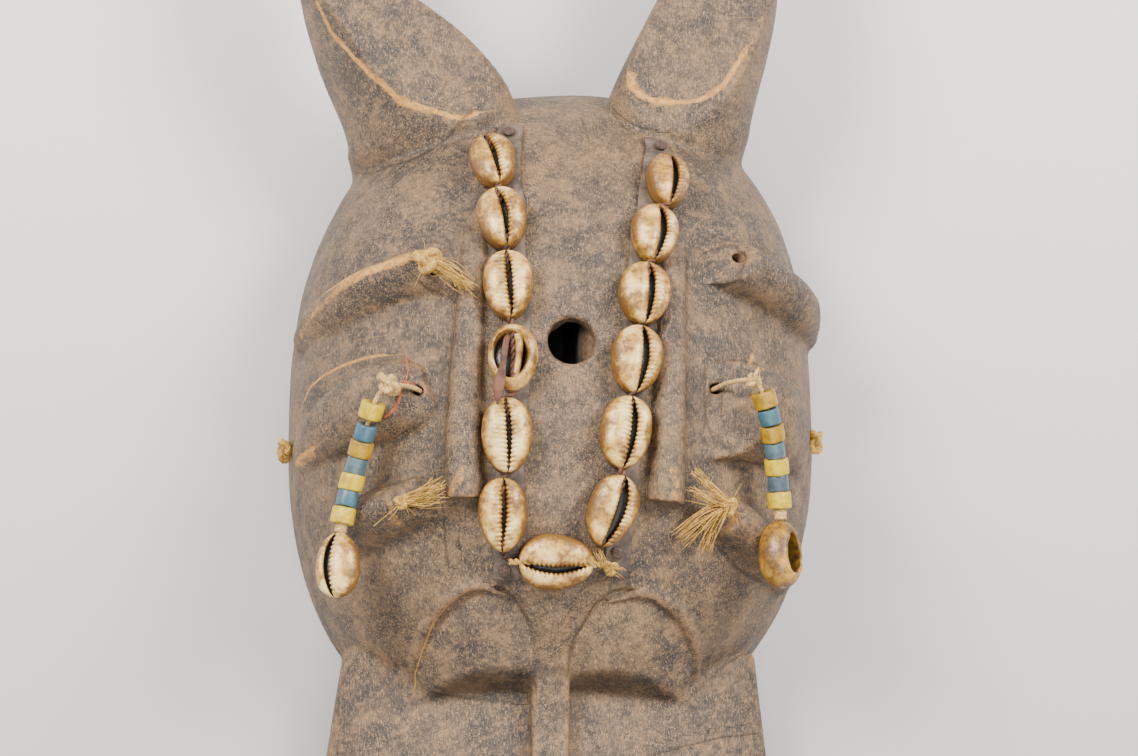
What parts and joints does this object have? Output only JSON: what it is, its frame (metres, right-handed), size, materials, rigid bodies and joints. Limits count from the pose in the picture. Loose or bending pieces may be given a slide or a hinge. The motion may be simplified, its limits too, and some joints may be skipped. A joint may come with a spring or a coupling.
{
  "type": "carved wooden horned face mask",
  "caption": "Hollow carved wooden face mask with horns, arched eyes, ridged cheek bars, strings of cowrie shells and beaded shell pendants, lying face up.",
  "frame": {"origin": "centre of the mask's footprint, in the plane of its flat back rim, which rests on the floor", "axes": "+X to the right of someone looking at the face, +Y from the chin to the horns, +Z out of the face, up from the floor"},
  "size_m": [0.1714, 0.4191, 0.0846],
  "materials": {
    "wood": "dry hand-carved hardwood with a grey-brown dusty patina, rubbed orange-brown on its edges",
    "shell": "smooth cream shell with rusty stains, half gloss",
    "leather": "old dusty brown hide",
    "raffia": "dry straw-coloured palm fibre, matt",
    "cord": "twisted plant-fibre cord, matt",
    "iron": "rusty hand-made nail",
    "yellow_glass": "opaque moulded glass with a waxy, slightly pitted skin",
    "blue_glass": "opaque moulded glass with a waxy, slightly pitted skin"
  },
  "bodies": {
    "root": {"bead_left_1": "yellow_glass", "bead_left_2": "blue_glass", "bead_left_3": "yellow_glass", "bead_left_4": "blue_glass", "bead_left_5": "yellow_glass", "bead_left_6": "blue_glass", "bead_left_7": "yellow_glass", "bead_right_1": "yellow_glass", "bead_right_2": "blue_glass", "bead_right_3": "yellow_glass", "bead_right_4": "blue_glass", "bead_right_5": "yellow_glass", "bead_right_6": "blue_glass", "bead_right_7": "yellow_glass", "cowrie_bottom": "shell", "cowrie_left_1": "shell", "cowrie_left_2": "shell", "cowrie_left_3": "shell", "cowrie_left_4": "shell", "cowrie_left_5": "shell", "cowrie_left_6": "shell", "cowrie_right_1": "shell", "cowrie_right_2": "shell", "cowrie_right_3": "shell", "cowrie_right_4": "shell", "cowrie_right_5": "shell", "cowrie_right_6": "shell", "mask_body": "wood", "nail_left_bottom": "iron", "nail_left_top": "iron", "nail_right_bottom": "iron", "nail_right_top": "iron", "pendant_cord_left": "cord", "pendant_cord_right": "cord", "pendant_cowrie_left": "shell", "pendant_cowrie_right": "shell", "pendant_knot_left": "cord", "pendant_knot_right": "cord", "pendant_wrap_left": "cord", "pendant_wrap_right": "cord", "raffia_knot_bottom": "raffia", "raffia_tuft_brow_left": "raffia", "raffia_tuft_cheek_left": "raffia", "raffia_tuft_cheek_right": "raffia", "side_knot_left": "raffia", "side_knot_right": "raffia", "strap_left": "leather", "strap_right": "leather", "thong_bottom": "leather", "thong_left": "leather", "thong_right": "leather"}
  },
  "joints": []
}
